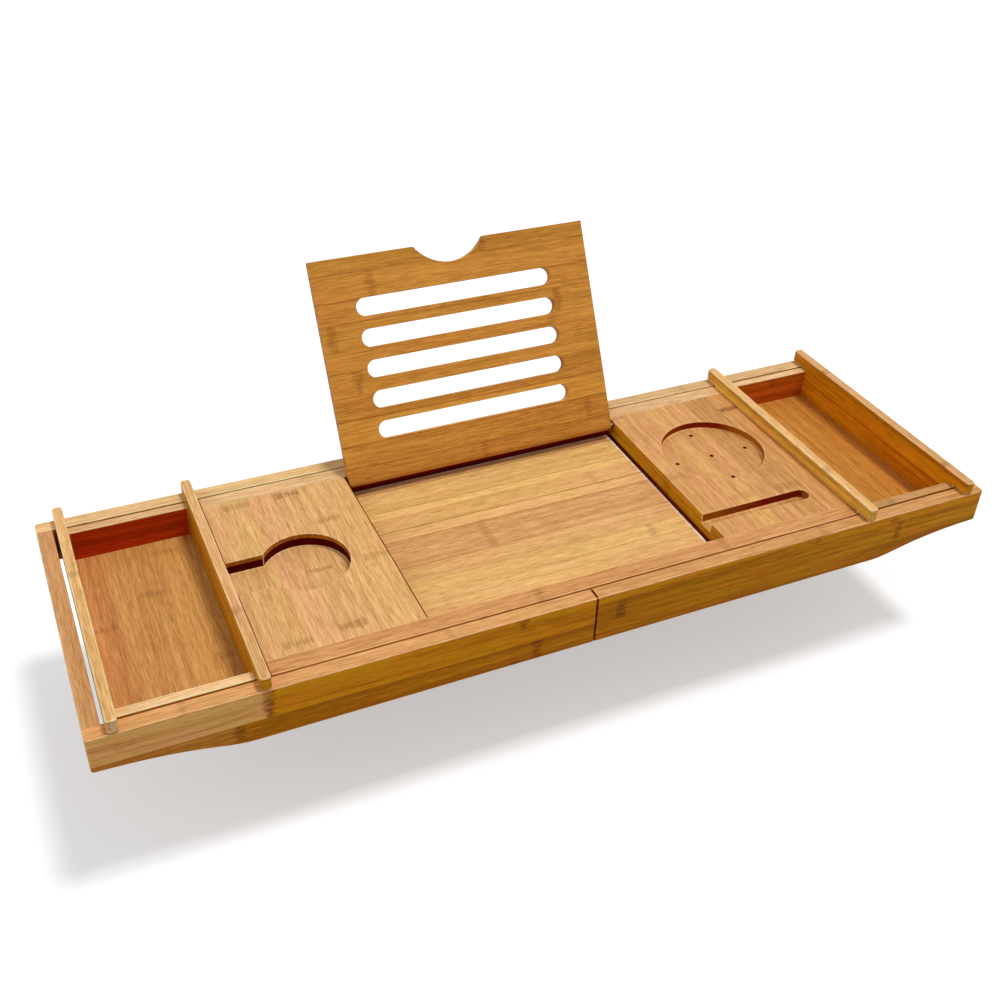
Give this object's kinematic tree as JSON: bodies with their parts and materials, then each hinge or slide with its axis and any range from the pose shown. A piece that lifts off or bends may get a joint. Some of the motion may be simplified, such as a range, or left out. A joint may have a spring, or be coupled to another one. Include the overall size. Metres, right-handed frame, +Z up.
{
  "type": "bath caddy",
  "caption": "Bamboo bath tray with two sliding end frames, lift-out trays, a glass and soap holder, a phone groove and a folding reading stand.",
  "frame": {"origin": "on the plane that the closed caddy stands on, below the middle of its outline with the reading stand raised", "axes": "+X along the caddy to the right as seen by the bather, +Y to the back, where the stand leans, +Z up"},
  "size_m": [0.7, 0.2854, 0.1933],
  "materials": {
    "bamboo_rail": "carbonised bamboo, satin clear lacquer",
    "bamboo_panel": "bamboo board, satin clear lacquer",
    "bamboo_board": "edge-glued bamboo strips, satin clear lacquer",
    "bamboo_tray": "bamboo board, satin clear lacquer",
    "bamboo_stand": "bamboo board, satin clear lacquer",
    "steel_pin": "drawn wire, bright"
  },
  "bodies": {
    "middle": {"inner_rail_front": "bamboo_rail", "inner_rail_back": "bamboo_rail", "glass_holder_panel": "bamboo_panel", "soap_and_phone_panel": "bamboo_panel", "centre_board": "bamboo_board", "board_batten_left": "bamboo_rail", "board_batten_right": "bamboo_rail"},
    "left_frame": {"left_rail_front": "bamboo_rail", "left_rail_back": "bamboo_rail", "left_end_rail": "bamboo_rail"},
    "right_frame": {"right_rail_front": "bamboo_rail", "right_rail_back": "bamboo_rail", "right_end_rail": "bamboo_rail"},
    "left_tray": {"left_tray_end_board_left": "bamboo_tray", "left_tray_end_board_right": "bamboo_tray", "left_tray_wall_front": "bamboo_tray", "left_tray_wall_back": "bamboo_tray", "left_tray_floor": "bamboo_tray"},
    "right_tray": {"right_tray_end_board_left": "bamboo_tray", "right_tray_end_board_right": "bamboo_tray", "right_tray_wall_front": "bamboo_tray", "right_tray_wall_back": "bamboo_tray", "right_tray_floor": "bamboo_tray"},
    "stand": {"reading_stand_panel": "bamboo_stand", "hinge_pin_left": "steel_pin", "hinge_pin_right": "steel_pin"}
  },
  "joints": [
    {"name": "left_frame_slide", "type": "slide", "parent": "middle", "child": "left_frame", "axis": [-1, 0, 0], "range_m": [0, 0.17]},
    {"name": "right_frame_slide", "type": "slide", "parent": "middle", "child": "right_frame", "axis": [1, 0, 0], "range_m": [0, 0.17]},
    {"name": "left_tray_lift", "type": "slide", "parent": "left_frame", "child": "left_tray", "axis": [0, 0, 1], "range_m": [0, 0.06]},
    {"name": "right_tray_lift", "type": "slide", "parent": "right_frame", "child": "right_tray", "axis": [0, 0, 1], "range_m": [0, 0.06]},
    {"name": "stand_fold", "type": "hinge", "parent": "middle", "child": "stand", "pos_m": [0, 0.05881, 0.0378], "axis": [1, 0, 0], "range_deg": [0, 120]}
  ]
}
